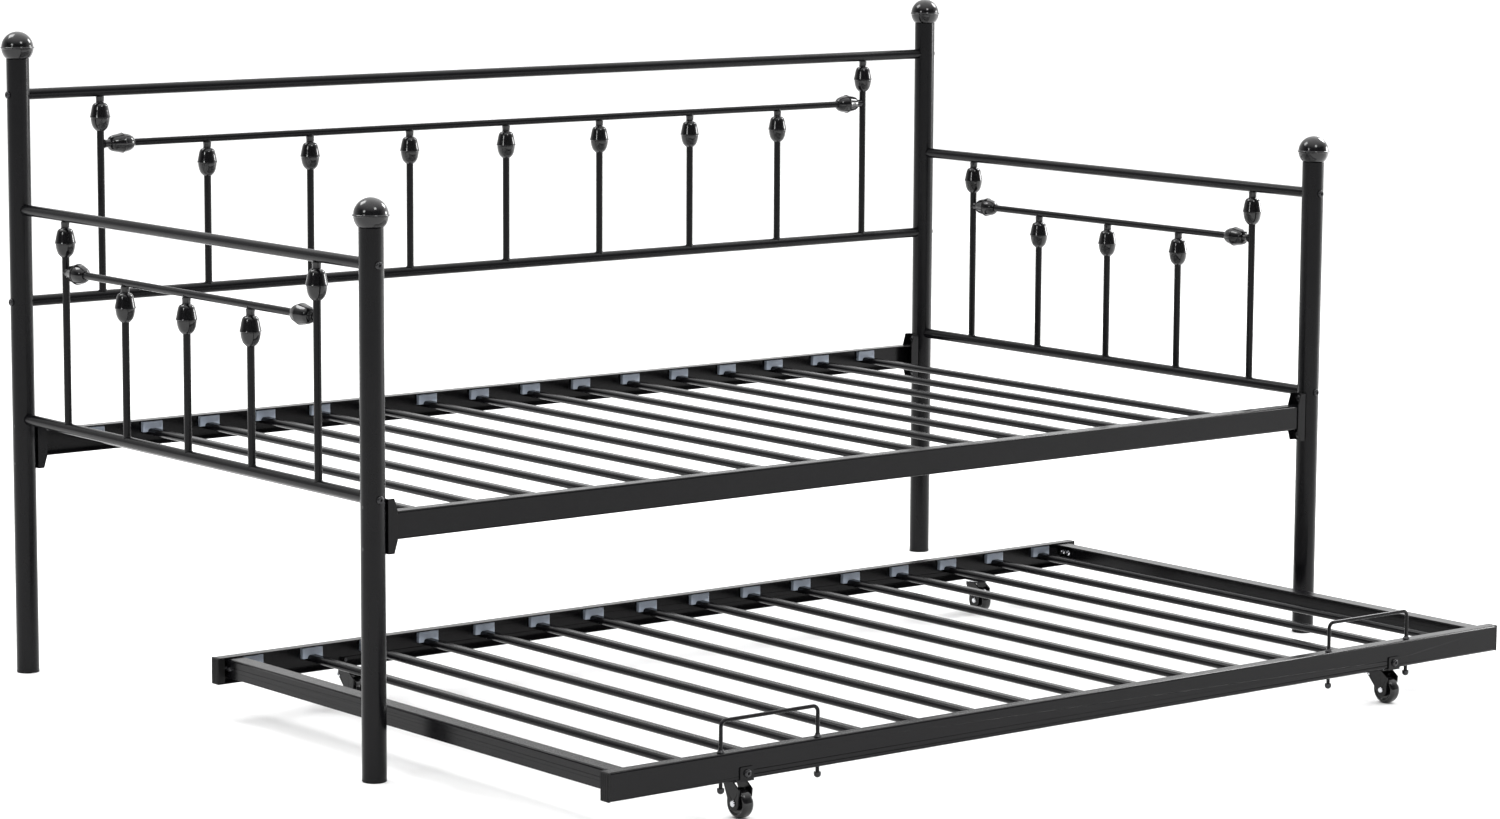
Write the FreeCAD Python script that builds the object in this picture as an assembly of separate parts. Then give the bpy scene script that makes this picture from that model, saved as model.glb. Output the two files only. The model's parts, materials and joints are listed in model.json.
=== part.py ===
import FreeCAD, Part
import math
import os
from FreeCAD import Vector

os.makedirs("parts", exist_ok=True)

# Metal daybed with a roll-out trundle.  Millimetres, +Z up, floor at Z = 0.
# +X runs along the bed, -Y is the open front where the trundle rolls out.
# Everything is laid out from the axis of the front left post, then moved so
# that the origin is the middle of the footprint, trundle pulled out.

# ---- daybed: overall ----
bed_length = 1935.0          # between post axes, along X
bed_width = 1020.0           # between post axes, along Y
front_height = 862.0         # floor to top of a front finial
rear_height = 1052.0         # floor to top of a rear finial
deck_top = 400.0             # floor to top of the deck rails
sheet = 2.0                  # pressed steel thickness
touch_gap = 0.3              # air between pieces of different bodies
head_rounding = 0.6          # rim radius of a round head, as a share of its height

# ---- posts, finials, feet ----
post_radius = 18.5
post_wall = 1.5
post_shoulder = 2.5
ball_radius = 26.0
ball_visible = 43.0          # height of a finial above its post
seam_rise = 1.5
seam_half = 1.3
plug_depth = 22.0
foot_flange = 4.0
foot_edge = 1.5

# ---- panels: rails, spindles, knobs ----
rail_radius = 9.0
spindle_radius = 6.0         # middle rails are of the same tube
tube_wall = 1.2
back_top_drop = 102.0        # finial top to the top rail's axis
back_middle_drop = 189.0
back_bottom_rise = 213.0     # deck top to the bottom rail's axis
arm_top_drop = 98.0
arm_middle_drop = 188.0
arm_bottom_rise = 21.0
back_spindles = 9
back_spindle_inset = 151.5
arm_spindles = 5
arm_spindle_inset = 144.0
knob_radius = 17.0
knob_length = 46.0           # body, without its neck
knob_wall = 1.2              # of the neck, round the spindle
knob_neck_length = 10.0
knob_gap = 0.3               # from the rail to the knob's neck
weld_gap = 0.2               # root gap where a coped tube is welded on

# ---- frame bolts ----
bolt_radius = 3.0
bolt_clearance = 0.3
bolt_head_radius = 6.0
bolt_head_height = 3.6
bolt_rounding = 0.7          # share of the head's height
socket_width = 4.0
socket_depth = 2.0
bolt_reach = 16.0            # thread beyond the post
nut_length = 8.0

# ---- deck ----
deck_rail_height = 42.0
deck_rail_depth = 22.0
channel_bend = 3.0
bracket_height = 82.0
bracket_flange = 17.0
bracket_tip = 11.0
bracket_bolt_inset = 10.0
slats = 16
deck_slat_inset = 134.0
slat_width = 20.0
slat_height = 11.0
slat_drop = 16.5             # rail top to slat top

# ---- slat holders ----
holder_width = 38.0
holder_hood = 11.5
holder_leg = 5.5
holder_depth = 7.0
holder_corner = 1.0
holder_panel_margin = 3.5
holder_panel_depth = 0.8

# ---- trundle ----
trundle_end_gap = 43.0       # between a post and the trundle's end
trundle_shift = -21.5        # the trundle stands a little to the left
trundle_overhang = 15.0      # trundle depth beyond the post spacing
trundle_pull = 510.0         # how far it is rolled out
trundle_rail_height = 42.0
trundle_rail_depth = 20.0
end_rail_inset = 14.0
end_rail_width = 28.0
end_rail_height = 30.0
corner_holder_gap = 3.0      # from a corner plate to the first slat holder
cap_plate = 3.0
cap_plug = 9.0
cap_rib = 1.0
cap_slots = 4
corner_plate_width = 30.0
corner_plate_height = 24.0
corner_bolt_places = (10.0, 24.0)    # from the long rail's web
corner_bolt_tip = 3.0

# ---- mattress stops ----
stop_side_gap = 0.8          # from a stop's leg to the slat holder beside it
stop_wire = 2.9
stop_rise = 49.0
stop_bend = 9.0
stop_clearance = 0.2
collar_radius = 5.6
collar_height = 5.0
collar_base = 1.4
collar_wall = 1.0
nut_cap_radius = 5.4
nut_cap_height = 8.5
nut_drop = 9.5               # below the rail
nut_grip = 4.5               # of the stop's leg in its nut
nut_swing_gap = 1.0          # from a nut to the swinging caster wheel

# ---- casters ----
kingpin_setback = 26.0       # behind the long rail's outer face
caster_trail = 12.0
plate_width = 25.0
plate_rise = 19.0
plate_corner = 2.5
plate_bolt_tip = 8.0
leg_rounding = 0.8           # share of the plate's half width
leg_reach = 52.0
wheel_radius = 22.0
wheel_width = 20.0
wheel_side_gap = 0.6
wheel_headroom = 7.5         # wheel to fork crown
axle_radius = 3.0
running_gap = 0.05
cheek_thickness = 2.2
cheek_end_radius = 11.0
cheek_depth = 3.0            # of a plain fork's back edge, below the crown
cheek_front_depth = 8.0
cheek_front_bulge = 2.0
cheek_lever_margin = 5.0     # of a braked fork round its lever pin
crown_back_share = 0.55      # of the cheek's reach behind the kingpin
axle_head_radius = 4.6
axle_head_height = 2.4
race_height = 2.2
race_radius = 11.0
kingpin_radius = 3.0
kingpin_head_radius = 5.0
kingpin_head_height = 1.4
lever_width = 15.0
lever_pin_radius = 1.5
lever_pin_back = 14.5        # behind the kingpin axis
lever_pin_drop = 7.5         # below the fork's crown
lever_pin_end = 0.8          # beyond each cheek
lever_tail = 17.0
lever_hub_wall = 1.8
shoe_drop = 8.0
shoe_thickness = 2.4
brake_gap = 1.6              # shoe to tread, brake off
braked_casters = ("front_right", "rear_left")

# ---- derived heights and radii ----
mid_rail_radius = spindle_radius
knob_neck_radius = spindle_radius + knob_wall
back_top_z = rear_height - back_top_drop
back_middle_z = rear_height - back_middle_drop
back_bottom_z = deck_top + back_bottom_rise
arm_top_z = front_height - arm_top_drop
arm_middle_z = front_height - arm_middle_drop
arm_bottom_z = deck_top + arm_bottom_rise
crown_bottom = 2 * wheel_radius + wheel_headroom
crown_top = crown_bottom + sheet
trundle_bottom = crown_top + touch_gap + race_height + sheet
trundle_top = trundle_bottom + trundle_rail_height
stop_tail = nut_drop + nut_grip
wheel_swing = math.hypot(caster_trail + wheel_radius, wheel_width / 2)
nut_to_kingpin = wheel_swing + nut_swing_gap + nut_cap_radius
caster_from_stop = math.sqrt(nut_to_kingpin ** 2 - (kingpin_setback - trundle_rail_depth / 2) ** 2)

X_AXIS = Vector(1, 0, 0)
Y_AXIS = Vector(0, 1, 0)
Z_AXIS = Vector(0, 0, 1)

nodes = {}


# ---------------------------------------------------------------- helpers

def add(name, pieces):
    """Store one node: a solid, or a list of separate solids."""
    nodes.setdefault(name, []).extend(pieces if isinstance(pieces, list) else [pieces])


def box(x0, x1, y0, y1, z0, z1):
    return Part.makeBox(x1 - x0, y1 - y0, z1 - z0, Vector(x0, y0, z0))


def rod(start, direction, length, radius):
    return Part.makeCylinder(radius, length, start, direction)


def tube(start, direction, length, radius, wall):
    outer = rod(start, direction, length, radius)
    return outer.cut(rod(start, direction, length, radius - wall))


def prism(points, sweep):
    """Flat closed outline swept along a vector."""
    outline = Part.makePolygon(points + [points[0]])
    return Part.Face(outline).extrude(sweep)


def turned(profile, base, axis):
    """Revolve (radius, height) points about an axis through base."""
    outline = [Vector(r, 0, h) for r, h in profile]
    solid = Part.Face(Part.makePolygon(outline + [outline[0]])).revolve(Vector(), Z_AXIS, 360)
    return placed(solid, base, axis)


def placed(shape, base, axis):
    """Move a shape modelled on +Z so that its axis points along axis at base."""
    shape = shape.copy()
    turn = FreeCAD.Rotation(Z_AXIS, axis)
    shape.Placement = FreeCAD.Placement(base, turn).multiply(shape.Placement)
    return shape


def button_bolt(seat, direction, reach):
    """Button-head socket bolt: head outside seat, shank running along direction."""
    head = Part.makeCylinder(bolt_head_radius, bolt_head_height)
    rim = [edge for edge in head.Edges if edge.BoundBox.ZMin > bolt_head_height - 0.01]
    head = head.makeFillet(bolt_head_height * bolt_rounding, rim)
    hexagon = [Vector(socket_width / math.sqrt(3) * math.cos(math.radians(60 * i)),
                      socket_width / math.sqrt(3) * math.sin(math.radians(60 * i)),
                      bolt_head_height - socket_depth) for i in range(6)]
    head = head.cut(prism(hexagon, Vector(0, 0, socket_depth + 1)))
    bolt = head.fuse(rod(Vector(0, 0, -reach), Z_AXIS, reach, bolt_radius))
    return placed(bolt, seat, direction * -1)


def channel(x0, x1, y_web, open_side, z_top, height, depth):
    """Pressed C-channel along X.  open_side is +1 or -1 along Y."""
    y_lip = y_web + open_side * depth
    body = box(x0, x1, min(y_web, y_lip), max(y_web, y_lip), z_top - height, z_top)
    bends = [edge for edge in body.Edges
             if edge.BoundBox.XLength > 1 and abs(edge.CenterOfMass.y - y_web) < 0.01]
    body = body.makeFillet(channel_bend, bends)
    y_in = y_web + open_side * sheet
    y_out = y_lip + open_side
    hollow = box(x0 - 1, x1 + 1, min(y_in, y_out), max(y_in, y_out),
                 z_top - height + sheet, z_top - sheet)
    return body.cut(hollow)


def oval_bar(x, y0, y1, z_top, inset=0.0):
    """Flat-oval bar along Y with its wide faces level, drawn in by inset all round."""
    half = slat_height / 2
    straight = slat_width - slat_height
    bar = box(x - straight / 2, x + straight / 2, y0, y1, z_top - slat_height + inset, z_top - inset)
    for side in (-1, 1):
        start = Vector(x + side * straight / 2, y0, z_top - half)
        bar = bar.fuse(rod(start, Y_AXIS, y1 - y0, half - inset))
    return bar.removeSplitter()


def flat_slat(x, y0, y1, z_top):
    """Flat-oval tube along Y."""
    return oval_bar(x, y0, y1, z_top).cut(oval_bar(x, y0, y1, z_top, tube_wall))


def slat_holder(x, y_web, inward, slat_top):
    """Plastic hood on the web that holds a slat's end down, with a leg on each side of it."""
    half = holder_width / 2
    y_hood = y_web + inward * holder_depth
    holder = box(x - half, x + half, min(y_web, y_hood), max(y_web, y_hood),
                 slat_top - holder_leg, slat_top + holder_hood)
    upright = [edge for edge in holder.Edges
               if edge.BoundBox.YLength < 0.01 and edge.BoundBox.XLength < 0.01
               and edge.BoundBox.ZLength > 5 and abs(edge.CenterOfMass.y - y_hood) < 0.01]
    holder = holder.makeFillet(holder_corner, upright)
    y_panel = y_hood - inward * holder_panel_depth
    y_clear = y_hood + inward
    panel = box(x - half + holder_panel_margin, x + half - holder_panel_margin,
                min(y_panel, y_clear), max(y_panel, y_clear),
                slat_top + holder_panel_margin / 2, slat_top + holder_hood - holder_panel_margin)
    holder = holder.cut(panel)
    return holder.cut(oval_bar(x, y_web - 2 * holder_depth, y_web + 2 * holder_depth, slat_top))


# ---------------------------------------------------------------- daybed

posts = {
    "front_left": (0.0, 0.0, front_height),
    "front_right": (bed_length, 0.0, front_height),
    "rear_left": (0.0, bed_width, rear_height),
    "rear_right": (bed_length, bed_width, rear_height),
}
post_bores = {name: [] for name in posts}


def post_solid(name):
    x, y, height = posts[name]
    return rod(Vector(x, y, -1), Z_AXIS, height, post_radius)


def make_finial(base):
    """Ball with a raised seam at its equator and a plug that enters the post."""
    centre = ball_visible - ball_radius
    ball = Part.makeSphere(ball_radius, Vector(0, 0, centre))
    seam = rod(Vector(0, 0, centre - seam_half), Z_AXIS, 2 * seam_half, ball_radius + seam_rise)
    rims = [edge for edge in seam.Edges if edge.Closed]
    ball = ball.fuse(seam.makeFillet(seam_half * head_rounding, rims))
    ball = ball.cut(rod(Vector(0, 0, -ball_radius * 2), Z_AXIS, ball_radius * 2, ball_radius * 2))
    plug = rod(Vector(0, 0, -plug_depth), Z_AXIS, plug_depth + 1, post_radius - post_wall)
    finial = ball.fuse(plug).removeSplitter()
    return placed(finial, base, Z_AXIS)


def make_foot(x, y):
    plug = rod(Vector(x, y, foot_flange), Z_AXIS, plug_depth, post_radius - post_wall)
    pad = rod(Vector(x, y, 0), Z_AXIS, foot_flange, post_radius)
    lower = [edge for edge in pad.Edges if edge.BoundBox.ZMax < 0.01]
    return pad.makeFillet(foot_edge, lower).fuse(plug)


def make_post(name):
    x, y, height = posts[name]
    top = height - ball_visible
    shell = rod(Vector(x, y, foot_flange), Z_AXIS, top - foot_flange, post_radius)
    rim = [edge for edge in shell.Edges if edge.BoundBox.ZMin > top - 0.01]
    shell = shell.makeFillet(min(post_shoulder, post_wall * 0.95), rim)
    shell = shell.cut(rod(Vector(x, y, 0), Z_AXIS, top + 1, post_radius - post_wall))
    for bore in post_bores[name]:
        shell = shell.cut(bore)
    return shell


def panel_rail(start, direction, length, radius, end_posts):
    """Round rail with both ends coped to the pieces that it meets."""
    rail = tube(start, direction, length, radius, tube_wall)
    for piece in end_posts:
        rail = rail.cut(piece)
    return max(rail.Solids, key=lambda solid: solid.Volume)


def frame_bolt(name, z, direction):
    """Bolt through a post into a rail that leaves it along direction."""
    x, y, _ = posts[name]
    seat = Vector(x, y, z) - direction * post_radius
    reach = 2 * post_radius + bolt_reach
    bore = rod(seat - direction, direction, reach, bolt_radius + bolt_clearance)
    post_bores[name].append(bore)
    add("frame_bolts", button_bolt(seat, direction, reach))
    nut_start = seat + direction * (reach - nut_length)
    nut = rod(nut_start, direction, nut_length, rail_radius - tube_wall)
    add("rail_end_nuts", nut.cut(rod(nut_start - direction, direction, nut_length + 2, bolt_radius)))


# Knob outline: (share of the body's length, share of the knob's radius)
KNOB_OUTLINE = (
    (0.05, 0.54), (0.11, 0.64), (0.22, 0.75), (0.33, 0.85), (0.49, 0.985), (0.51, 1.0),
    (0.535, 0.975), (0.55, 0.93), (0.61, 0.89), (0.78, 0.76), (0.89, 0.61), (0.965, 0.47),
)


def turned_knob(base, axis):
    """Barrel knob bored for its spindle.  base is the neck end, axis points away from the rail."""
    total = knob_neck_length + knob_length
    profile = [(spindle_radius, 0), (knob_neck_radius, 0), (knob_neck_radius, knob_neck_length)]
    for along, out in KNOB_OUTLINE:
        profile.append((knob_radius * out, knob_neck_length + knob_length * along))
    profile += [(knob_neck_radius, total), (spindle_radius, total)]
    return turned(profile, base, axis)


def make_panel(prefix, origin, along, span, inset, count, levels, end_names):
    """Rails, spindles and knobs of one panel between two posts."""
    top_z, middle_z, bottom_z = levels
    ends = [post_solid(name) for name in end_names]
    for label, z in (("top", top_z), ("bottom", bottom_z)):
        start = origin + Z_AXIS * z
        add(f"{prefix}_{label}_rail", panel_rail(start, along, span, rail_radius, ends))
        frame_bolt(end_names[0], z, along)
        frame_bolt(end_names[1], z, along * -1)

    pitch = (span - 2 * inset) / (count - 1)
    bottom_cope = rod(origin + Z_AXIS * bottom_z, along, span, rail_radius + weld_gap)
    outer_copes = []
    for i in range(count):
        foot = origin + along * (inset + i * pitch) + Z_AXIS * bottom_z
        outer = i in (0, count - 1)
        roof_z, roof_radius = (top_z, rail_radius) if outer else (middle_z, mid_rail_radius)
        height = roof_z - bottom_z
        if outer:
            outer_copes.append(rod(foot, Z_AXIS, height, spindle_radius + weld_gap))
        roof_cope = rod(origin + Z_AXIS * roof_z, along, span, roof_radius + weld_gap)
        spindle = tube(foot, Z_AXIS, height, spindle_radius, tube_wall).cut(roof_cope).cut(bottom_cope)
        add(f"{prefix}_spindles", max(spindle.Solids, key=lambda solid: solid.Volume))
        neck = Vector(foot.x, foot.y, roof_z - roof_radius - knob_gap)
        add(f"{prefix}_knobs", turned_knob(neck, Z_AXIS * -1))

    middle = tube(origin + along * inset + Z_AXIS * middle_z, along, span - 2 * inset,
                  mid_rail_radius, tube_wall)
    for cope in outer_copes:
        middle = middle.cut(cope)
    add(f"{prefix}_middle_rail", max(middle.Solids, key=lambda solid: solid.Volume))
    for i, way in ((0, along), (count - 1, along * -1)):
        side = origin + along * (inset + i * pitch) + Z_AXIS * middle_z
        add(f"{prefix}_knobs", turned_knob(side + way * (spindle_radius + knob_gap), way))


def make_daybed_panels():
    make_panel("back", Vector(0, bed_width, 0), X_AXIS, bed_length, back_spindle_inset,
               back_spindles, (back_top_z, back_middle_z, back_bottom_z),
               ("rear_left", "rear_right"))
    for side, x in (("left", 0.0), ("right", bed_length)):
        make_panel(f"{side}_arm", Vector(x, 0, 0), Y_AXIS, bed_width, arm_spindle_inset,
                   arm_spindles, (arm_top_z, arm_middle_z, arm_bottom_z),
                   (f"front_{side}", f"rear_{side}"))


def deck_bracket(name, way):
    """U-bracket on a post.  way is +1 or -1 along X, towards the middle of the bed."""
    x, y, _ = posts[name]
    half = deck_rail_depth / 2
    z_mid = deck_top - deck_rail_height / 2
    x_post = x + way * post_radius
    z0 = z_mid - bracket_height / 2
    z1 = z_mid + bracket_height / 2
    bracket_taper = (bracket_height - deck_rail_height) / 2
    web = box(min(x_post, x_post + way * sheet), max(x_post, x_post + way * sheet),
              y - half - sheet, y + half + sheet, z0, z1)
    bracket = web
    for side in (-1, 1):
        y_in = y + side * half
        outline = [
            Vector(x_post, y_in, z0),
            Vector(x_post + way * bracket_tip, y_in, z0),
            Vector(x_post + way * bracket_flange, y_in, z0 + bracket_taper),
            Vector(x_post + way * bracket_flange, y_in, z1 - bracket_taper),
            Vector(x_post + way * bracket_tip, y_in, z1),
            Vector(x_post, y_in, z1),
        ]
        bracket = bracket.fuse(prism(outline, Vector(0, side * sheet, 0)))
    bracket = bracket.removeSplitter()
    for z in (z0 + bracket_bolt_inset, z1 - bracket_bolt_inset):
        direction = X_AXIS * -way
        seat = Vector(x_post + way * sheet, y, z)
        reach = sheet + 2 * post_radius
        bore = rod(seat - direction, direction, reach + 2, bolt_radius + bolt_clearance)
        bracket = bracket.cut(bore)
        post_bores[name].append(bore)
        add("deck_bolts", button_bolt(seat, direction, reach))
    return bracket


def make_deck():
    x0 = post_radius + sheet
    x1 = bed_length - post_radius - sheet
    half = deck_rail_depth / 2
    webs = {"front": (-half, 1), "rear": (bed_width + half, -1)}
    for name, (y_web, inward) in webs.items():
        add(f"deck_{name}_rail",
            channel(x0, x1, y_web, inward, deck_top, deck_rail_height, deck_rail_depth))
    slat_top = deck_top - slat_drop
    pitch = (bed_length - 2 * deck_slat_inset) / (slats - 1)
    for i in range(slats):
        x = deck_slat_inset + i * pitch
        add("deck_slats", flat_slat(x, -half + sheet, bed_width + half - sheet, slat_top))
        for y_web, inward in webs.values():
            add("deck_slat_holders", slat_holder(x, y_web + inward * sheet, inward, slat_top))
    for name in posts:
        way = 1 if name.endswith("left") else -1
        add("deck_brackets", deck_bracket(name, way))


def make_posts():
    for name, (x, y, height) in posts.items():
        add(f"post_{name}", make_post(name))
        add("finials", make_finial(Vector(x, y, height - ball_visible)))
        add("foot_plugs", make_foot(x, y))


# ---------------------------------------------------------------- trundle

trundle_length = bed_length - 2 * post_radius - 2 * trundle_end_gap
trundle_depth = bed_width + trundle_overhang
trundle_left = (bed_length - trundle_length) / 2 + trundle_shift
trundle_right = trundle_left + trundle_length
trundle_front = -deck_rail_depth / 2 - trundle_pull
trundle_rear = trundle_front + trundle_depth
corner_reach = cap_plate + end_rail_inset + sheet + corner_plate_width
trundle_slat_inset = corner_reach + corner_holder_gap + holder_width / 2
trundle_pitch = (trundle_length - 2 * trundle_slat_inset) / (slats - 1)

# A stop stands between the second and the fourth slat's holders, clear of both.
stop_leg_from_slat = holder_width / 2 + stop_wire + stop_side_gap
stop_inset = trundle_slat_inset + trundle_pitch + stop_leg_from_slat
stop_width = 2 * (trundle_pitch - stop_leg_from_slat)
caster_inset = stop_inset + caster_from_stop


def make_stop(x, y):
    """Bent wire loop that keeps the mattress from sliding over the front rail."""
    x_end = x + stop_width
    z_low = trundle_bottom - stop_tail
    z_high = trundle_top + stop_rise - stop_wire
    turn = stop_bend * (1 - math.sqrt(0.5))
    points = [
        Part.LineSegment(Vector(x, y, z_low), Vector(x, y, z_high - stop_bend)),
        Part.Arc(Vector(x, y, z_high - stop_bend), Vector(x + turn, y, z_high - turn),
                 Vector(x + stop_bend, y, z_high)),
        Part.LineSegment(Vector(x + stop_bend, y, z_high), Vector(x_end - stop_bend, y, z_high)),
        Part.Arc(Vector(x_end - stop_bend, y, z_high), Vector(x_end - turn, y, z_high - turn),
                 Vector(x_end, y, z_high - stop_bend)),
        Part.LineSegment(Vector(x_end, y, z_high - stop_bend), Vector(x_end, y, z_low)),
    ]
    path = Part.Wire([piece.toShape() for piece in points])
    section = Part.Wire([Part.makeCircle(stop_wire, Vector(x, y, z_low), Z_AXIS)])
    return path.makePipeShell([section], True, False)


def stop_fittings(x, y):
    """Flared collar on the rail and domed nut under it, on one leg of a stop."""
    collar = turned([
        (stop_wire, 0),
        (collar_radius, 0),
        (collar_radius, collar_base),
        (stop_wire + collar_wall, collar_height - collar_base),
        (stop_wire + collar_wall, collar_height),
        (stop_wire, collar_height),
    ], Vector(x, y, trundle_top), Z_AXIS)
    z_nut = trundle_bottom - nut_drop
    z_dome = z_nut - nut_cap_height + nut_cap_radius
    dome = Part.makeSphere(nut_cap_radius, Vector(x, y, z_dome))
    body = rod(Vector(x, y, z_dome), Z_AXIS, z_nut - z_dome, nut_cap_radius)
    dome = dome.common(rod(Vector(x, y, z_dome - nut_cap_radius), Z_AXIS, nut_cap_radius, nut_cap_radius))
    nut = dome.fuse(body).removeSplitter()
    nut = nut.cut(rod(Vector(x, y, trundle_bottom - stop_tail), Z_AXIS, stop_tail + 1, stop_wire))
    return collar, nut


def make_trundle_rails(leg_points):
    y_webs = {"front": (trundle_front, 1), "rear": (trundle_rear, -1)}
    for name, (y_web, inward) in y_webs.items():
        rail = channel(trundle_left + cap_plate, trundle_right - cap_plate, y_web, inward,
                       trundle_top, trundle_rail_height, trundle_rail_depth)
        if name == "front":
            for x, y in leg_points:
                rail = rail.cut(rod(Vector(x, y, 0), Z_AXIS, trundle_top + 1, stop_wire + stop_clearance))
        for x in caster_xs():
            seat = Vector(x, y_web - inward * sheet, plate_bolt_z())
            rail = rail.cut(rod(seat, Y_AXIS * inward, 3 * sheet, bolt_radius + bolt_clearance))
        add(f"trundle_{name}_rail", rail)
        for x_end, way in ((trundle_left, 1), (trundle_right, -1)):
            add("trundle_end_caps", end_cap(x_end, way, y_web, inward))


def end_cap(x_end, way, y_web, inward):
    """Ribbed plastic cap that closes a long rail's open end."""
    y_lip = y_web + inward * trundle_rail_depth
    x_plate = x_end + way * cap_plate
    plate = box(min(x_end, x_plate), max(x_end, x_plate), min(y_web, y_lip), max(y_web, y_lip),
                trundle_bottom, trundle_top)
    step = trundle_rail_depth / cap_slots
    for i in range(cap_slots):
        y_mid = min(y_web, y_lip) + (i + 0.5) * step
        groove = box(min(x_end - way, x_end + way * cap_rib), max(x_end - way, x_end + way * cap_rib),
                     y_mid - step / 4, y_mid + step / 4,
                     trundle_bottom + sheet, trundle_top - sheet)
        plate = plate.cut(groove)
    y_in = y_web + inward * sheet
    x_in = x_plate + way * cap_plug
    plug = box(min(x_plate, x_in), max(x_plate, x_in), min(y_in, y_lip), max(y_in, y_lip),
               trundle_bottom + sheet, trundle_top - sheet)
    return plate.fuse(plug)


def make_end_rails():
    y0 = trundle_front + sheet
    y1 = trundle_rear - sheet
    z1 = trundle_top - sheet
    z0 = z1 - end_rail_height
    for name, x_face, way in (("left", trundle_left + end_rail_inset + cap_plate, 1),
                              ("right", trundle_right - end_rail_inset - cap_plate, -1)):
        x_in = x_face + way * end_rail_width
        body = box(min(x_face, x_in), max(x_face, x_in), y0, y1, z0, z1)
        bend = [edge for edge in body.Edges
                if edge.BoundBox.YLength > 1 and abs(edge.CenterOfMass.x - x_face) < 0.01
                and abs(edge.CenterOfMass.z - z1) < 0.01]
        body = body.makeFillet(channel_bend, bend)
        x_cut0 = x_face + way * sheet
        x_cut1 = x_in + way
        rail = body.cut(box(min(x_cut0, x_cut1), max(x_cut0, x_cut1), y0 - 1, y1 + 1, z0 - 1, z1 - sheet))
        for y_end, inward in ((y0, 1), (y1, -1)):
            z_mid = (z0 + z1 - sheet) / 2
            plate = corner_plate(x_face + way * sheet, way, y_end, inward, z_mid)
            for place in corner_bolt_places:
                y_bolt = y_end + inward * place
                seat = Vector(x_face + way * 2 * sheet, y_bolt, z_mid)
                direction = X_AXIS * -way
                bore = rod(seat - direction, direction, 3 * sheet, bolt_radius + bolt_clearance)
                rail = rail.cut(bore)
                plate = plate.cut(bore)
                add("corner_bolts", button_bolt(seat, direction, 2 * sheet + corner_bolt_tip))
            add("corner_plates", plate)
        add(f"trundle_{name}_rail", rail)


def corner_plate(x_web, way, y_end, inward, z_mid):
    """Folded plate: one leg on the end rail's web, one on the long rail's web."""
    half = corner_plate_height / 2
    x_far = x_web + way * corner_plate_width
    x_near = x_web + way * sheet
    y_far = y_end + inward * corner_plate_width
    y_near = y_end + inward * sheet
    on_end = box(min(x_web, x_near), max(x_web, x_near), min(y_end, y_far), max(y_end, y_far),
                 z_mid - half, z_mid + half)
    on_long = box(min(x_web, x_far), max(x_web, x_far), min(y_end, y_near), max(y_end, y_near),
                  z_mid - half, z_mid + half)
    return on_end.fuse(on_long).removeSplitter()


def make_trundle_slats():
    slat_top = trundle_top - slat_drop
    for i in range(slats):
        x = trundle_left + trundle_slat_inset + i * trundle_pitch
        add("trundle_slats", flat_slat(x, trundle_front + sheet, trundle_rear - sheet, slat_top))
        add("trundle_slat_holders", slat_holder(x, trundle_front + sheet, 1, slat_top))
        add("trundle_slat_holders", slat_holder(x, trundle_rear - sheet, -1, slat_top))


def make_stops():
    y = trundle_front + trundle_rail_depth / 2
    starts = {"left": trundle_left + stop_inset, "right": trundle_right - stop_inset - stop_width}
    leg_points = []
    for name, x in starts.items():
        add(f"mattress_stop_{name}", make_stop(x, y))
        for leg_x in (x, x + stop_width):
            leg_points.append((leg_x, y))
            collar, nut = stop_fittings(leg_x, y)
            add("stop_collars", collar)
            add("stop_nuts", nut)
    return leg_points


# ---------------------------------------------------------------- casters

def caster_xs():
    return (trundle_left + caster_inset, trundle_right - caster_inset)


def plate_bolt_z():
    return trundle_bottom + plate_rise / 2


axle_z = wheel_radius
cheek_inner = wheel_width / 2 + wheel_side_gap
cheek_outer = cheek_inner + cheek_thickness


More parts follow.
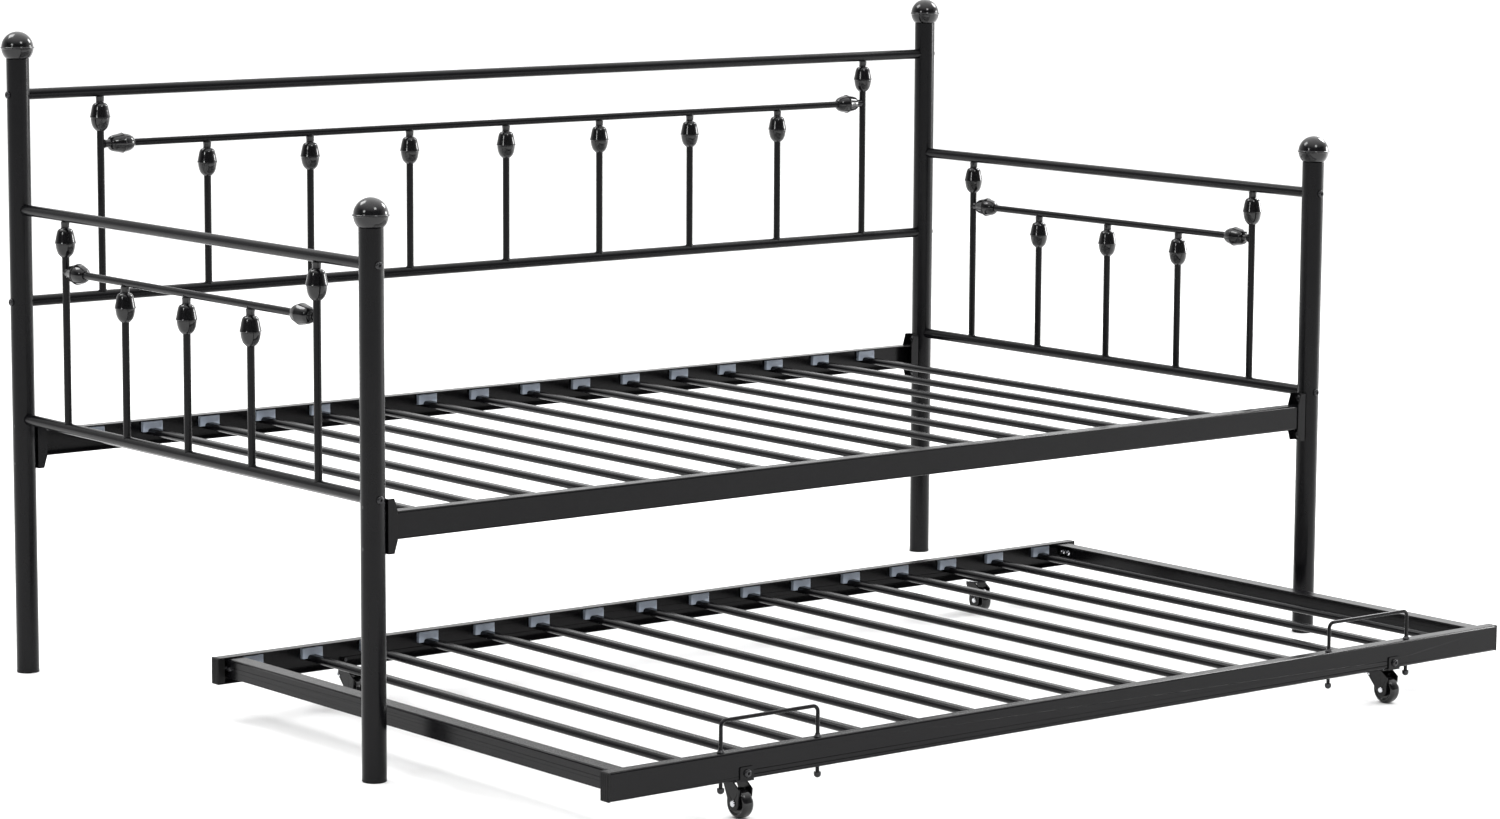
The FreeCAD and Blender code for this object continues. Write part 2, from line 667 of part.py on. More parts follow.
def caster_mount(x, y_web, inward):
    """L-bracket bolted on the long rail's web, with the fixed race and the kingpin."""
    half = plate_width / 2
    y_out = y_web - inward * sheet
    y_far = y_web + inward * leg_reach
    upright = box(x - half, x + half, min(y_web, y_out), max(y_web, y_out),
                  trundle_bottom - sheet, trundle_bottom + plate_rise)
    corners = [edge for edge in upright.Edges
               if edge.BoundBox.YLength > 1 and edge.CenterOfMass.z > trundle_bottom + plate_rise - 1]
    upright = upright.makeFillet(plate_corner, corners)
    leg = box(x - half, x + half, min(y_out, y_far), max(y_out, y_far),
              trundle_bottom - sheet, trundle_bottom)
    tips = [edge for edge in leg.Edges
            if edge.BoundBox.ZLength > 1 and abs(edge.CenterOfMass.y - y_far) < 0.01]
    leg = leg.makeFillet(half * leg_rounding, tips)
    bracket = upright.fuse(leg).removeSplitter()
    seat = Vector(x, y_out, plate_bolt_z())
    direction = Y_AXIS * inward
    bracket = bracket.cut(rod(seat - direction, direction, 3 * sheet, bolt_radius + bolt_clearance))
    y_king = y_web + inward * kingpin_setback
    king = rod(Vector(x, y_king, crown_bottom - touch_gap), Z_AXIS,
               trundle_bottom - crown_bottom + touch_gap, kingpin_radius)
    bracket = bracket.cut(rod(Vector(x, y_king, 0), Z_AXIS, trundle_top, kingpin_radius))
    race = rod(Vector(x, y_king, trundle_bottom - sheet - race_height), Z_AXIS, race_height, race_radius)
    race = race.cut(rod(Vector(x, y_king, 0), Z_AXIS, trundle_top, kingpin_radius))
    head = rod(Vector(x, y_king, crown_bottom - touch_gap - kingpin_head_height), Z_AXIS,
               kingpin_head_height, kingpin_head_radius)
    rim = [edge for edge in head.Edges if edge.BoundBox.ZMax < crown_bottom - touch_gap - 1]
    kingpin = king.fuse(head.makeFillet(kingpin_head_height * head_rounding, rim))
    add("caster_brackets", bracket)
    add("swivel_races", race)
    add("caster_kingpins", kingpin)
    add("caster_plate_bolts", button_bolt(seat, direction, 2 * sheet + plate_bolt_tip))
    return y_king


def cheek_outline(x, y_king, y_axle, braked):
    """Side plate of a fork: wide at the crown, rounded round the axle."""
    y_back = y_king + cheek_back(braked)
    points = [
        Vector(x, y_king - race_radius, crown_top),
        Vector(x, y_back, crown_top),
    ]
    if braked:
        z_pin = crown_bottom - lever_pin_drop
        points += [
            Vector(x, y_back, z_pin + cheek_lever_margin / 2),
            Vector(x, y_back - cheek_lever_margin / 4, z_pin - cheek_lever_margin / 4),
            Vector(x, y_back - cheek_lever_margin, z_pin - cheek_lever_margin),
        ]
    else:
        points.append(Vector(x, y_back, crown_bottom - cheek_depth))
    points += [
        Vector(x, y_axle + cheek_end_radius, axle_z),
        Vector(x, y_axle - cheek_end_radius, axle_z),
        Vector(x, y_axle - cheek_end_radius - cheek_front_bulge, crown_bottom - cheek_front_depth),
    ]
    return points


def cheek_back(braked):
    return lever_pin_back + cheek_lever_margin if braked else race_radius


def make_fork(x, y_king, braked):
    y_axle = y_king - caster_trail
    crown = rod(Vector(x, y_king, crown_bottom), Z_AXIS, sheet, race_radius)
    y_crown = y_king + cheek_back(braked) * crown_back_share
    fork = crown.fuse(box(x - cheek_outer, x + cheek_outer, y_king - race_radius, y_crown,
                          crown_bottom, crown_top))
    for side in (-1, 1):
        x_in = x + side * cheek_inner
        cheek = prism(cheek_outline(x_in, y_king, y_axle, braked), Vector(side * cheek_thickness, 0, 0))
        x_low = min(x_in, x_in + side * cheek_thickness)
        cheek = cheek.fuse(rod(Vector(x_low, y_axle, axle_z), X_AXIS, cheek_thickness, cheek_end_radius))
        fork = fork.fuse(cheek)
    fork = fork.removeSplitter()
    fork = fork.cut(rod(Vector(x, y_king, 0), Z_AXIS, trundle_top, kingpin_radius + running_gap))
    fork = fork.cut(rod(Vector(x - 2 * cheek_outer, y_axle, axle_z), X_AXIS, 4 * cheek_outer, axle_radius))
    if braked:
        y_pin, z_pin = lever_pin(y_king)
        fork = fork.cut(rod(Vector(x - 2 * cheek_outer, y_pin, z_pin), X_AXIS,
                            4 * cheek_outer, lever_pin_radius))
    return fork


def make_axle(x, y_axle):
    """Axle with a domed head at each end, outside the fork's cheeks."""
    axle = rod(Vector(x - cheek_outer, y_axle, axle_z), X_AXIS, 2 * cheek_outer, axle_radius)
    for side in (-1, 1):
        head = Part.makeCylinder(axle_head_radius, axle_head_height)
        rim = [edge for edge in head.Edges if edge.BoundBox.ZMin > axle_head_height - 0.01]
        head = head.makeFillet(axle_head_height * head_rounding, rim)
        seat = Vector(x + side * cheek_outer, y_axle, axle_z)
        axle = axle.fuse(placed(head, seat, X_AXIS * side))
    return axle


# Half of the wheel's outline: (radius from the rim inwards, distance from the side face)
WHEEL_RIM = ((7.0, 2.2), (5.0, 0.6), (3.4, 0.8), (1.5, 2.2), (0.4, 4.4), (0.0, 7.0))
wheel_hub_radius = 7.0
wheel_dish = 2.2


def make_wheel(x, y_axle):
    """Moulded wheel with a crowned tread and dished sides."""
    half = wheel_width / 2
    profile = [
        (axle_radius + running_gap, -half),
        (wheel_hub_radius, -half),
        (wheel_hub_radius + wheel_dish / 2, -half + wheel_dish),
    ]
    for inward, depth in WHEEL_RIM:
        profile.append((wheel_radius - inward, -half + depth))
    mirrored = [(r, -h) for r, h in reversed(profile)]
    return turned(profile + mirrored, Vector(x, y_axle, axle_z), X_AXIS)


def lever_pin(y_king):
    return y_king + lever_pin_back, crown_bottom - lever_pin_drop


def make_lever(x, y_king):
    """Brake lever: a bored hub, a tail to press and a shoe that meets the tread."""
    y_pin, z_pin = lever_pin(y_king)
    half = lever_width / 2
    hub_radius = lever_pin_radius + lever_hub_wall
    z_top = z_pin + hub_radius
    hub = rod(Vector(x - half, y_pin, z_pin), X_AXIS, lever_width, hub_radius)
    tail = box(x - half, x + half, y_pin, y_pin + lever_tail, z_top - sheet, z_top)
    lip = box(x - half, x + half, y_pin + lever_tail - sheet, y_pin + lever_tail, z_top - 3 * sheet, z_top)
    shoe_z = z_pin - hub_radius - shoe_drop
    reach = math.sqrt((wheel_radius + brake_gap) ** 2 - (shoe_z - axle_z) ** 2)
    shoe_y = y_king - caster_trail + reach
    shoe = prism([
        Vector(x - half, y_pin - shoe_thickness / 2, z_pin),
        Vector(x - half, y_pin + shoe_thickness / 2, z_pin),
        Vector(x - half, shoe_y + shoe_thickness, shoe_z),
        Vector(x - half, shoe_y, shoe_z),
    ], Vector(lever_width, 0, 0))
    lever = hub.fuse(tail).fuse(lip).fuse(shoe).removeSplitter()
    bore = rod(Vector(x - lever_width, y_pin, z_pin), X_AXIS, 2 * lever_width, lever_pin_radius + running_gap)
    pin_start = Vector(x - cheek_outer - lever_pin_end, y_pin, z_pin)
    pin = rod(pin_start, X_AXIS, 2 * (cheek_outer + lever_pin_end), lever_pin_radius)
    return lever.cut(bore), pin


def make_casters():
    left_x, right_x = caster_xs()
    places = {
        "front_left": (left_x, trundle_front, 1),
        "front_right": (right_x, trundle_front, 1),
        "rear_left": (left_x, trundle_rear, -1),
        "rear_right": (right_x, trundle_rear, -1),
    }
    for name, (x, y_web, inward) in places.items():
        y_king = caster_mount(x, y_web, inward)
        y_axle = y_king - caster_trail
        braked = name in braked_casters
        add(f"caster_fork_{name}", make_fork(x, y_king, braked))
        add(f"caster_axle_{name}", make_axle(x, y_axle))
        add(f"caster_wheel_{name}", make_wheel(x, y_axle))
        if braked:
            lever, pin = make_lever(x, y_king)
            add(f"brake_lever_{name}", lever)
            add(f"caster_axle_{name}", pin)


# ---------------------------------------------------------------- build

make_daybed_panels()
make_deck()
make_posts()
stop_legs = make_stops()
make_trundle_rails(stop_legs)
make_end_rails()
make_trundle_slats()
make_casters()

# The origin is the middle of the footprint on the floor.
y_bolt_heads = trundle_front - sheet - bolt_head_height
y_wheel_fronts = trundle_front + kingpin_setback - caster_trail - wheel_radius
y_low = min(y_bolt_heads, y_wheel_fronts)
y_high = bed_width + ball_radius + seam_rise
origin_shift = Vector(-bed_length / 2, -(y_low + y_high) / 2, 0)

for node, solids in nodes.items():
    shape = Part.makeCompound(solids) if len(solids) > 1 else solids[0]
    shape = shape.copy()
    shape.translate(origin_shift)
    shape.exportStep(f"parts/{node}.step")
print(len(nodes), "nodes, origin shift", origin_shift)
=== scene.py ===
import json
import math
import random

import bmesh
import bpy
from mathutils import Matrix, Vector


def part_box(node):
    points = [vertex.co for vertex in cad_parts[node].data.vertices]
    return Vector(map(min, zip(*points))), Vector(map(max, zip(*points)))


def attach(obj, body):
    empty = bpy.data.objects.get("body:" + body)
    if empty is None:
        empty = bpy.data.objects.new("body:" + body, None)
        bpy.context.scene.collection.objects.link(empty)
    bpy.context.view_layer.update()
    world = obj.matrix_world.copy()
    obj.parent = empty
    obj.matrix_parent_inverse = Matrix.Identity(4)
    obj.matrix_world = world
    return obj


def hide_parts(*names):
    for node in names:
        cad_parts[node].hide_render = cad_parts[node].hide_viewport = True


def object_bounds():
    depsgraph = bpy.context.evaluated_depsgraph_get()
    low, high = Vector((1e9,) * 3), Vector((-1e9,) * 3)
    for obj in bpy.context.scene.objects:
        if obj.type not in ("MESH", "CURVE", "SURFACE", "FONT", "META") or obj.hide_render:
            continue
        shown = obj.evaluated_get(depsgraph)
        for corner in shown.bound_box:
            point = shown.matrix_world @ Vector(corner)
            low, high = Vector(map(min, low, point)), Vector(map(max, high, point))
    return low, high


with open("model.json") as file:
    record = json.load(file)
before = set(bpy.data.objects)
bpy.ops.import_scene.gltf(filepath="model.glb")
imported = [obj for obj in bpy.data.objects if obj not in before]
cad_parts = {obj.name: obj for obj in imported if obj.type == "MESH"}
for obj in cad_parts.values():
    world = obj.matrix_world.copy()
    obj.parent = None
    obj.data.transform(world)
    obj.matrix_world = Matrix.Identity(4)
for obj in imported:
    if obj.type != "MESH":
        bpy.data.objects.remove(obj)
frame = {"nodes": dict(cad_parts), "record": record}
cad_low, cad_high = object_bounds()
nodes = frame["nodes"]

# A black metal daybed with its slatted trundle rolled out, on a pale floor.
# Metres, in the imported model's frame: +X along the bed, -Y the open front.

MM = 0.001
random.seed(7)

# ---- camera ----
CAMERA_PLACE = Vector((-4.5621, -5.6334, 1.4692))
CAMERA_TURN = -38.6495       # degrees about Z, from looking along +Y
CAMERA_DIP = 8.0737          # degrees below the horizon
CAMERA_ROLL = 0.3215
LENS = 107.458               # mm, on a 36 mm wide sensor
SENSOR = 36.0


def make_camera():
    data = bpy.data.cameras.new("camera")
    data.lens = LENS
    data.sensor_width = SENSOR
    data.clip_end = 200.0
    camera = bpy.data.objects.new("camera", data)
    bpy.context.scene.collection.objects.link(camera)
    turn = Matrix.Rotation(math.radians(CAMERA_TURN), 4, "Z")
    dip = Matrix.Rotation(math.radians(90 - CAMERA_DIP), 4, "X")
    roll = Matrix.Rotation(math.radians(CAMERA_ROLL), 4, "Z")
    camera.matrix_world = Matrix.Translation(CAMERA_PLACE) @ turn @ dip @ roll
    bpy.context.scene.camera = camera
    return camera


camera = make_camera()


# ------------------------------------------------------------ material helpers

# Where most of a noise's values lie.
NOISE_LOW = 0.3
NOISE_HIGH = 0.7

COAT_ROUGHNESS = 0.08
FINE_SCALE = 60.0            # cells per metre of the roughness
SLOW_SCALE = 28.0            # cells per metre of the slow waves
SLOW_WAVES = (0.04, 0.0003)  # bump strength, depth in metres


def new_material(name):
    """A material with its Principled shader, its node tree and object coordinates."""
    material = bpy.data.materials.new(name)
    material.use_nodes = True
    tree = material.node_tree
    shader = tree.nodes["Principled BSDF"]
    place = tree.nodes.new("ShaderNodeTexCoord")
    return material, tree, shader, place.outputs["Object"]


def noise(tree, place, scale, detail=4.0, roughness=0.55):
    """Noise by place.  scale is in cells per metre."""
    node = tree.nodes.new("ShaderNodeTexNoise")
    node.inputs["Scale"].default_value = scale
    node.inputs["Detail"].default_value = detail
    node.inputs["Roughness"].default_value = roughness
    tree.links.new(place, node.inputs["Vector"])
    return node.outputs["Fac"]


def spread(tree, value, low, high, start=NOISE_LOW, end=NOISE_HIGH):
    """Map a value's start..end to low..high."""
    node = tree.nodes.new("ShaderNodeMapRange")
    node.inputs["From Min"].default_value = start
    node.inputs["From Max"].default_value = end
    node.inputs["To Min"].default_value = low
    node.inputs["To Max"].default_value = high
    tree.links.new(value, node.inputs["Value"])
    return node.outputs["Result"]


def between(tree, value, dark, light):
    """Blend two colours by noise."""
    node = tree.nodes.new("ShaderNodeValToRGB")
    node.color_ramp.elements[0].position = NOISE_LOW
    node.color_ramp.elements[0].color = (*dark, 1)
    node.color_ramp.elements[1].position = NOISE_HIGH
    node.color_ramp.elements[1].color = (*light, 1)
    tree.links.new(value, node.inputs["Fac"])
    return node.outputs["Color"]


def bump(tree, shader, height, strength, depth, below=None):
    """Bump the shader's normal, on top of the bump below."""
    node = tree.nodes.new("ShaderNodeBump")
    node.inputs["Strength"].default_value = strength
    node.inputs["Distance"].default_value = depth
    tree.links.new(height, node.inputs["Height"])
    if below:
        tree.links.new(below, node.inputs["Normal"])
    tree.links.new(node.outputs["Normal"], shader.inputs["Normal"])
    return node.outputs["Normal"]


def textured(name, dark, light, rough, peel, metallic=0.0, specular=0.5, patch=9.0, peel_scale=900.0,
             coat=0.0):
    """Colour in slow patches, roughness that varies with it, and a fine bump.

    rough is the range of roughness and peel the bump's (strength, depth in metres).
    """
    material, tree, shader, place = new_material(name)
    shader.inputs["Metallic"].default_value = metallic
    shader.inputs["Specular IOR Level"].default_value = specular
    shader.inputs["Coat Weight"].default_value = coat
    shader.inputs["Coat Roughness"].default_value = COAT_ROUGHNESS
    patches = noise(tree, place, patch, 6.0, 0.6)
    tree.links.new(between(tree, patches, dark, light), shader.inputs["Base Color"])
    fine = noise(tree, place, FINE_SCALE, 5.0, 0.6)
    tree.links.new(spread(tree, fine, *rough), shader.inputs["Roughness"])
    slow = bump(tree, shader, noise(tree, place, SLOW_SCALE, 2.0), *SLOW_WAVES)
    bump(tree, shader, noise(tree, place, peel_scale, 2.0, 0.5), *peel, slow)
    return material


materials = {
    "powder_coat": textured("powder_coat", (0.0032, 0.0032, 0.0038), (0.0046, 0.0046, 0.0052),
                            (0.20, 0.25), (0.05, 0.00006), specular=0.15, peel_scale=1500.0),
    "gloss_lacquer": textured("gloss_lacquer", (0.0035, 0.0035, 0.004), (0.0055, 0.0055, 0.006),
                              (0.11, 0.15), (0.03, 0.00005), specular=0.30, coat=0.25),
    "black_plastic": textured("black_plastic", (0.0022, 0.0022, 0.0024), (0.0038, 0.0038, 0.004),
                              (0.46, 0.58), (0.14, 0.0001), specular=0.22, peel_scale=1400.0),
    "black_bolts": textured("black_bolts", (0.016, 0.016, 0.017), (0.030, 0.030, 0.032),
                            (0.18, 0.28), (0.06, 0.00006), metallic=0.6, patch=90.0),
    "zinc": textured("zinc", (0.56, 0.57, 0.60), (0.74, 0.75, 0.77),
                     (0.18, 0.30), (0.08, 0.00008), metallic=1.0, patch=160.0),
    "holder_plastic": textured("holder_plastic", (0.37, 0.42, 0.50), (0.42, 0.47, 0.55),
                               (0.40, 0.50), (0.08, 0.00008), specular=0.40, patch=40.0),
    "fork_paint": textured("fork_paint", (0.0035, 0.0035, 0.004), (0.0055, 0.0055, 0.006),
                           (0.18, 0.26), (0.06, 0.00008), specular=0.22, patch=60.0),
    "wheel_plastic": textured("wheel_plastic", (0.003, 0.003, 0.0034), (0.0055, 0.0055, 0.006),
                              (0.10, 0.17), (0.03, 0.00006), specular=0.30, patch=60.0, coat=0.25),
}


def dress_cad_nodes():
    """Give each CAD node the procedural material of its slot."""
    for part in frame["record"]["subparts"]:
        slots = nodes[part["node"]].data.materials
        slots.clear()
        slots.append(materials[part["material_slot"]])


dress_cad_nodes()


# ------------------------------------------------------------ edges of pressed and moulded nodes

SAME_PLACE = 0.00001         # metres between corners that are one
EDGE_ANGLE = 35              # degrees, from which an edge is rounded

# Nodes by the width of their rounded edges, in mm.
BEVELLED = {
    0.45: ("deck_front_rail", "deck_rear_rail", "trundle_front_rail", "trundle_rear_rail",
           "trundle_left_rail", "trundle_right_rail", "deck_brackets", "corner_plates",
           "caster_brackets", "caster_fork_front_left", "caster_fork_front_right",
           "caster_fork_rear_left", "caster_fork_rear_right"),
    0.7: ("deck_slat_holders", "trundle_slat_holders", "trundle_end_caps"),
    0.3: ("brake_lever_front_right", "brake_lever_rear_left"),
}


def soften_edges():
    """Round the sharp edges a little, so that they catch light as pressed steel does."""
    for width, names in BEVELLED.items():
        for name in names:
            weld = nodes[name].modifiers.new("weld", "WELD")
            weld.merge_threshold = SAME_PLACE
            edge = nodes[name].modifiers.new("edge", "BEVEL")
            edge.width = width * MM
            edge.segments = 2
            edge.limit_method = "ANGLE"
            edge.angle_limit = math.radians(EDGE_ANGLE)
            edge.harden_normals = True


# ------------------------------------------------------------ turned pieces

def solids(node):
    """The lowest and highest corner of each separate solid of a CAD node."""
    copy = bmesh.new()
    copy.from_mesh(nodes[node].data)
    copy.transform(nodes[node].matrix_world)
    bmesh.ops.remove_doubles(copy, verts=copy.verts, dist=SAME_PLACE)
    seen = set()
    found = []
    for first in copy.verts:
        if first in seen:
            continue
        seen.add(first)
        group = [first]
        for vert in group:
            for edge in vert.link_edges:
                other = edge.other_vert(vert)
                if other not in seen:
                    seen.add(other)
                    group.append(other)
        places = [vert.co for vert in group]
        low = Vector([min(place[i] for place in places) for i in range(3)])
        high = Vector([max(place[i] for place in places) for i in range(3)])
        found.append((low, high))
    copy.free()
    return found


def smooth_profile(points, sharp, steps=5):
    """Catmull-Rom curve through (radius, height) points, with the corners in sharp kept."""
    runs = []
    start = 0
    for i in list(sharp) + [len(points) - 1]:
        runs.append(points[start:i + 1])
        start = i
    curve = []
    for run in runs:
        padded = [run[0]] + run + [run[-1]]
        for k in range(1, len(padded) - 2):
            before, here, after, beyond = padded[k - 1:k + 3]
            for j in range(steps):
                t = j / steps
                curve.append(tuple(
                    0.5 * (2 * q + (r - p) * t + (2 * p - 5 * q + 4 * r - s) * t * t
                           + (3 * q - p - 3 * r + s) * t * t * t)
                    for p, q, r, s in zip(before, here, after, beyond)))
    curve.append(points[-1])
    return curve


def lathe(mesh, profile, base, axis, around=64):
    """Add a revolved profile of (radius, height) in mm to a bmesh, standing at base along axis."""
    turn = Vector((0, 0, 1)).rotation_difference(axis).to_matrix()
    rings = []
    for radius, height in profile:
        ring = []
        for i in range(around):
            angle = 2 * math.pi * i / around
            local = Vector((radius * math.cos(angle), radius * math.sin(angle), height)) * MM
            ring.append(mesh.verts.new(base + turn @ local))
        rings.append(ring)
    for lower, upper in zip(rings, rings[1:]):
        for i in range(around):
            k = (i + 1) % around
            mesh.faces.new((lower[i], lower[k], upper[k], upper[i]))
    return rings


def finished(mesh, name, body, slot, replaced=()):
    """Turn a bmesh into a smooth piece that rides on a body."""
    bmesh.ops.recalc_face_normals(mesh, faces=mesh.faces)
    data = bpy.data.meshes.new(name)
    mesh.to_mesh(data)
    mesh.free()
    for face in data.polygons:
        face.use_smooth = True
    piece = bpy.data.objects.new(name, data)
    bpy.context.scene.collection.objects.link(piece)
    data.materials.append(materials[slot])
    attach(piece, body)
    if replaced:
        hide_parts(*replaced)
    return piece


# Radius and distance from the rail, in mm: flared neck, a full shoulder, sides that swell to a
# sharp ridge, a fine step and a bulky lower half that rounds in to the end.
KNOB = [
    (6.0, 0.0), (7.2, 0.0), (7.15, 0.6), (6.7, 5.0), (6.8, 9.2), (7.3, 10.0),
    (10.2, 11.2), (12.4, 14.0), (13.9, 19.0), (15.1, 25.0), (16.3, 31.0), (17.0, 33.6),
    (16.6, 34.2), (15.6, 34.7), (15.6, 36.2), (15.2, 40.0), (13.9, 46.0), (11.6, 51.2), (8.8, 54.4),
    (7.2, 55.9), (6.0, 55.9),
]
KNOB_CORNERS = (1, 5, 11, 13, 19)     # the outline's points that stay sharp


def make_knobs():
    profile = smooth_profile(KNOB, KNOB_CORNERS)
    for node in ("back_knobs", "left_arm_knobs", "right_arm_knobs"):
        found = solids(node)
        panel = sum(((low + high) / 2 for low, high in found), Vector()) / len(found)
        mesh = bmesh.new()
        for low, high in found:
            size = high - low
            middle = (low + high) / 2
            along = max(range(3), key=lambda i: size[i])
            axis = Vector()
            axis[along] = -1.0 if along == 2 else math.copysign(1.0, panel[along] - middle[along])
            lathe(mesh, profile, middle - axis * size[along] / 2, axis)
        finished(mesh, f"turned_{node}", "daybed", "gloss_lacquer", (node,))


BALL_RADIUS = 26.0
BALL_VISIBLE = 43.0          # height of a finial above its post
BALL_CENTRE = BALL_VISIBLE - BALL_RADIUS
BALL_NECK = [(16.9, 0.0), (18.9, 0.0), (19.4, 0.25)]
BALL_SEAM = [(26.3, 15.75), (27.0, 15.85), (27.4, 16.2), (27.5, 16.7), (27.5, 17.3), (27.4, 17.8),
             (27.0, 18.15), (26.3, 18.25)]
SEAM_LATITUDE = 3.6          # degrees, where the ball meets its seam
LOWER_STEPS = 14
UPPER_STEPS = 26
POLE_RADIUS = 0.02
BALL_AROUND = 96


def on_ball(latitude):
    """Radius and height of the finial's ball at a latitude in degrees."""
    angle = math.radians(latitude)
    return BALL_RADIUS * math.cos(angle), BALL_CENTRE + BALL_RADIUS * math.sin(angle)


def ball_profile():
    """A pressed ball finial: closed under its neck, a raised seam, a full round top."""
    neck = math.degrees(math.asin(-BALL_CENTRE / BALL_RADIUS))
    lower = [on_ball(neck + (-SEAM_LATITUDE - neck) * k / LOWER_STEPS) for k in range(1, LOWER_STEPS + 1)]
    upper = [on_ball(SEAM_LATITUDE + (90 - SEAM_LATITUDE) * k / UPPER_STEPS) for k in range(UPPER_STEPS)]
    return BALL_NECK + lower + BALL_SEAM + upper + [(POLE_RADIUS, BALL_CENTRE + BALL_RADIUS)]


def make_finials():
    mesh = bmesh.new()
    profile = ball_profile()
    for low, high in solids("finials"):
        middle = (low + high) / 2
        base = Vector((middle.x, middle.y, high.z - BALL_VISIBLE * MM))
        rings = lathe(mesh, profile, base, Vector((0, 0, 1)), BALL_AROUND)
        mesh.faces.new(rings[-1])
    finished(mesh, "ball_finials", "daybed", "gloss_lacquer", ("finials",))


# Half of a wheel's section: radius and distance from the side face, in mm.
WHEEL_SIDE = [(3.05, 0.0), (6.6, 0.0), (7.0, 0.5), (7.9, 2.2), (14.6, 2.2), (16.4, 1.0), (17.4, 0.7),
              (18.6, 0.9), (20.3, 2.1), (21.4, 4.0), (21.9, 6.4), (22.0, 9.0)]
WHEEL_CORNERS = (1, 3, 4)
WHEEL_AROUND = 96
CLOSED_LOOP = 0.000001       # metres, joins a section's last ring to its first


def make_wheels():
    for place in ("front_left", "front_right", "rear_left", "rear_right"):
        node = f"caster_wheel_{place}"
        low, high = solids(node)[0]
        middle = (low + high) / 2
        half = (high.x - low.x) / 2 / MM
        side = smooth_profile(WHEEL_SIDE, WHEEL_CORNERS)
        section = [(radius, depth - half) for radius, depth in side]
        section += [(radius, half - depth) for radius, depth in reversed(side)]
        mesh = bmesh.new()
        lathe(mesh, section + section[:1], middle, Vector((1, 0, 0)), WHEEL_AROUND)
        bmesh.ops.remove_doubles(mesh, verts=mesh.verts, dist=CLOSED_LOOP)
        finished(mesh, f"rolled_{node}", f"wheel_{place}", "wheel_plastic", (node,))


# ------------------------------------------------------------ weld beads

BEAD_RADIUS = 1.15
BEAD_RISE = 0.25             # of its middle above the rail's surface
BEAD_SWELL = 0.10            # share by which it swells and thins
BEAD_RIPPLES = 11
BEAD_AROUND = 56
BEAD_SECTION = 8


def saddle_bead(mesh, foot, along, rail_radius, tube_radius):
    """A weld bead round the end of a tube that stands on a rail."""
    across = Vector((-along.y, along.x, 0))
    rings = []
    rough = [random.uniform(-1, 1) for _ in range(BEAD_AROUND)]
    for i in range(BEAD_AROUND):
        angle = 2 * math.pi * i / BEAD_AROUND
        ripple = math.sin(angle * BEAD_RIPPLES)
        swell = 1 + BEAD_SWELL * (rough[i] + rough[i - 1]) / 2 + BEAD_SWELL * ripple
        outward = along * math.cos(angle) + across * math.sin(angle)
        height = math.sqrt(max(rail_radius ** 2 - (tube_radius * math.sin(angle)) ** 2, 0))
        centre = foot + (outward * tube_radius + Vector((0, 0, height + BEAD_RISE))) * MM
        ring = []
        for k in range(BEAD_SECTION):
            turn = 2 * math.pi * k / BEAD_SECTION
            offset = outward * math.cos(turn) + Vector((0, 0, math.sin(turn)))
            ring.append(mesh.verts.new(centre + offset * BEAD_RADIUS * swell * MM))
        rings.append(ring)
    for i in range(BEAD_AROUND):
        ring, following = rings[i], rings[(i + 1) % BEAD_AROUND]
        for k in range(BEAD_SECTION):
            n = (k + 1) % BEAD_SECTION
            mesh.faces.new((ring[k], ring[n], following[n], following[k]))


def make_welds():
    """Beads at the spindles' feet, one piece for each panel."""
    panels = {"back": Vector((1, 0, 0)), "left_arm": Vector((0, 1, 0)), "right_arm": Vector((0, 1, 0))}
    for panel, along in panels.items():
        low, high = (Vector(corner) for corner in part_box(f"{panel}_bottom_rail"))
        rail = (low + high) / 2
        radius = (high.z - low.z) / 2 / MM
        mesh = bmesh.new()
        for spindle_low, spindle_high in solids(f"{panel}_spindles"):
            middle = (spindle_low + spindle_high) / 2
            size = spindle_high - spindle_low
            tube = min(size.x, size.y) / 2 / MM
            saddle_bead(mesh, Vector((middle.x, middle.y, rail.z)), along, radius, tube)
        finished(mesh, f"{panel}_welds", "daybed", "powder_coat")


soften_edges()
make_knobs()
make_finials()
make_wheels()
make_welds()


# ------------------------------------------------------------ floor and light

FLOOR_SIZE = 120.0
FLOOR_ALBEDO = 0.86
FLOOR_PATCH = 0.01           # by which patches of it are lighter
FLOOR_PATCH_SCALE = 0.6      # cells per metre


def make_floor():
    mesh = bpy.data.meshes.new("floor")
    half = FLOOR_SIZE / 2
    corners = [(-half, -half, 0), (half, -half, 0), (half, half, 0), (-half, half, 0)]
    mesh.from_pydata(corners, [], [(0, 1, 2, 3)])
    floor = bpy.data.objects.new("floor", mesh)
    bpy.context.scene.collection.objects.link(floor)
    material, tree, shader, place = new_material("floor")
    shader.inputs["Roughness"].default_value = 0.9
    shader.inputs["Specular IOR Level"].default_value = 0.1
    pale = (FLOOR_ALBEDO,) * 3
    paler = (FLOOR_ALBEDO + FLOOR_PATCH,) * 3
    patches = noise(tree, place, FLOOR_PATCH_SCALE)
    tree.links.new(between(tree, patches, pale, paler), shader.inputs["Base Color"])
    mesh.materials.append(material)


# Each softbox: name, direction from the bed as (right, up, towards the camera), size, radiance.
SOFTBOX_DISTANCE = 6.0
SOFTBOXES = (
    ("high_left", (-0.59, 0.80, -0.10), 2.2, 9.0),
    ("low_left", (-0.61, 0.31, 0.73), 1.0, 14.0),
    ("front_right", (0.35, 0.61, 0.71), 1.3, 14.0),
    ("high_right", (0.60, 0.63, -0.50), 1.7, 22.0),
    ("low_right", (0.88, 0.18, -0.44), 1.4, 22.0),
)


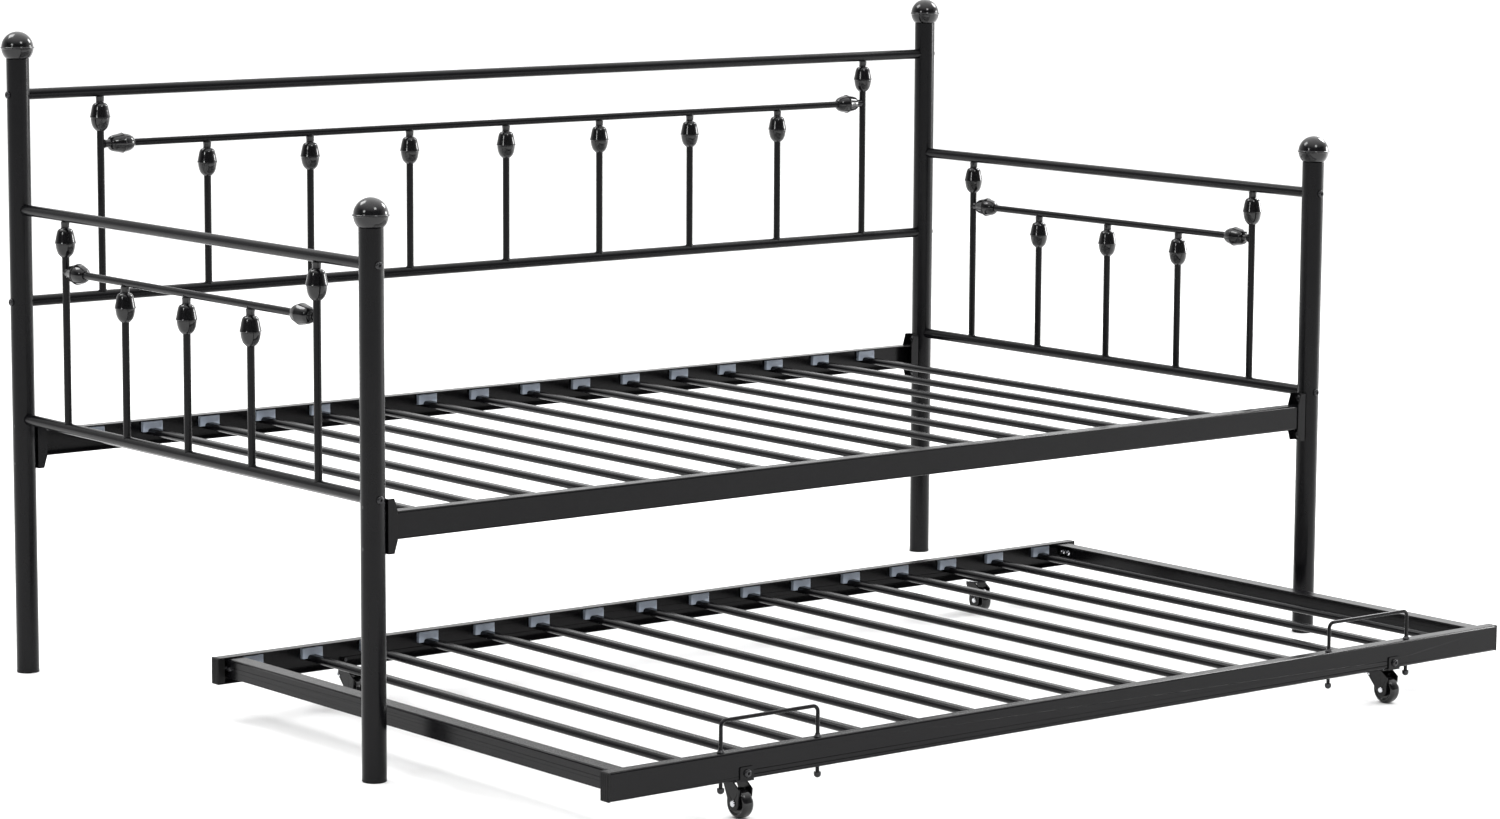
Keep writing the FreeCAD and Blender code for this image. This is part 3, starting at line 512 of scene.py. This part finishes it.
def make_softboxes():
    axes = camera.matrix_world.to_3x3()
    middle = (cad_low + cad_high) / 2
    for name, direction, size, radiance in SOFTBOXES:
        light = bpy.data.lights.new(name, "AREA")
        light.size = size
        light.energy = radiance * math.pi * size * size
        lamp = bpy.data.objects.new(name, light)
        bpy.context.scene.collection.objects.link(lamp)
        outward = (axes @ Vector(direction)).normalized()
        lamp.location = middle + outward * SOFTBOX_DISTANCE
        lamp.rotation_euler = outward.to_track_quat("Z", "Y").to_euler()


# Radiance from low to high, and the cosines to a direction between which it changes.
FAR_WALL = (0.10, 1.0, -0.3, 0.7)
RIGHT_SIDE = (1.0, 1.9, 0.2, 0.95)
CEILING = (0.0, 1.9, 0.45, 0.95)
RIGHT_SIDE_TURN = 0.6        # how far the right side's direction leans away from the camera


def world_term(tree, place, direction, levels):
    """Radiance that changes over levels as a ray comes round to the direction."""
    facing = tree.nodes.new("ShaderNodeVectorMath")
    facing.operation = "DOT_PRODUCT"
    facing.inputs[1].default_value = direction.normalized()
    tree.links.new(place, facing.inputs[0])
    return spread(tree, facing.outputs["Value"], *levels)


def combined(tree, operation, first, second):
    node = tree.nodes.new("ShaderNodeMath")
    node.operation = operation
    tree.links.new(first, node.inputs[0])
    tree.links.new(second, node.inputs[1])
    return node.outputs["Value"]


def make_world():
    """A pale studio: a bright ceiling, a bright far wall, dim on the camera's side."""
    world = bpy.data.worlds.new("studio")
    bpy.context.scene.world = world
    world.use_nodes = True
    tree = world.node_tree
    background = tree.nodes["Background"]
    place = tree.nodes.new("ShaderNodeTexCoord").outputs["Generated"]
    axes = camera.matrix_world.to_3x3()
    away = -(axes @ Vector((0, 0, 1)))
    away.z = 0
    right = axes @ Vector((1, 0, 0))
    wall = world_term(tree, place, away, FAR_WALL)
    brighter = world_term(tree, place, right + away * RIGHT_SIDE_TURN, RIGHT_SIDE)
    ceiling = world_term(tree, place, Vector((0, 0, 1)), CEILING)
    level = combined(tree, "ADD", combined(tree, "MULTIPLY", wall, brighter), ceiling)
    tree.links.new(level, background.inputs["Strength"])
    background.inputs["Color"].default_value = (1.0, 1.0, 1.0, 1)


make_floor()
make_softboxes()
make_world()
bpy.context.scene.view_settings.view_transform = "Standard"
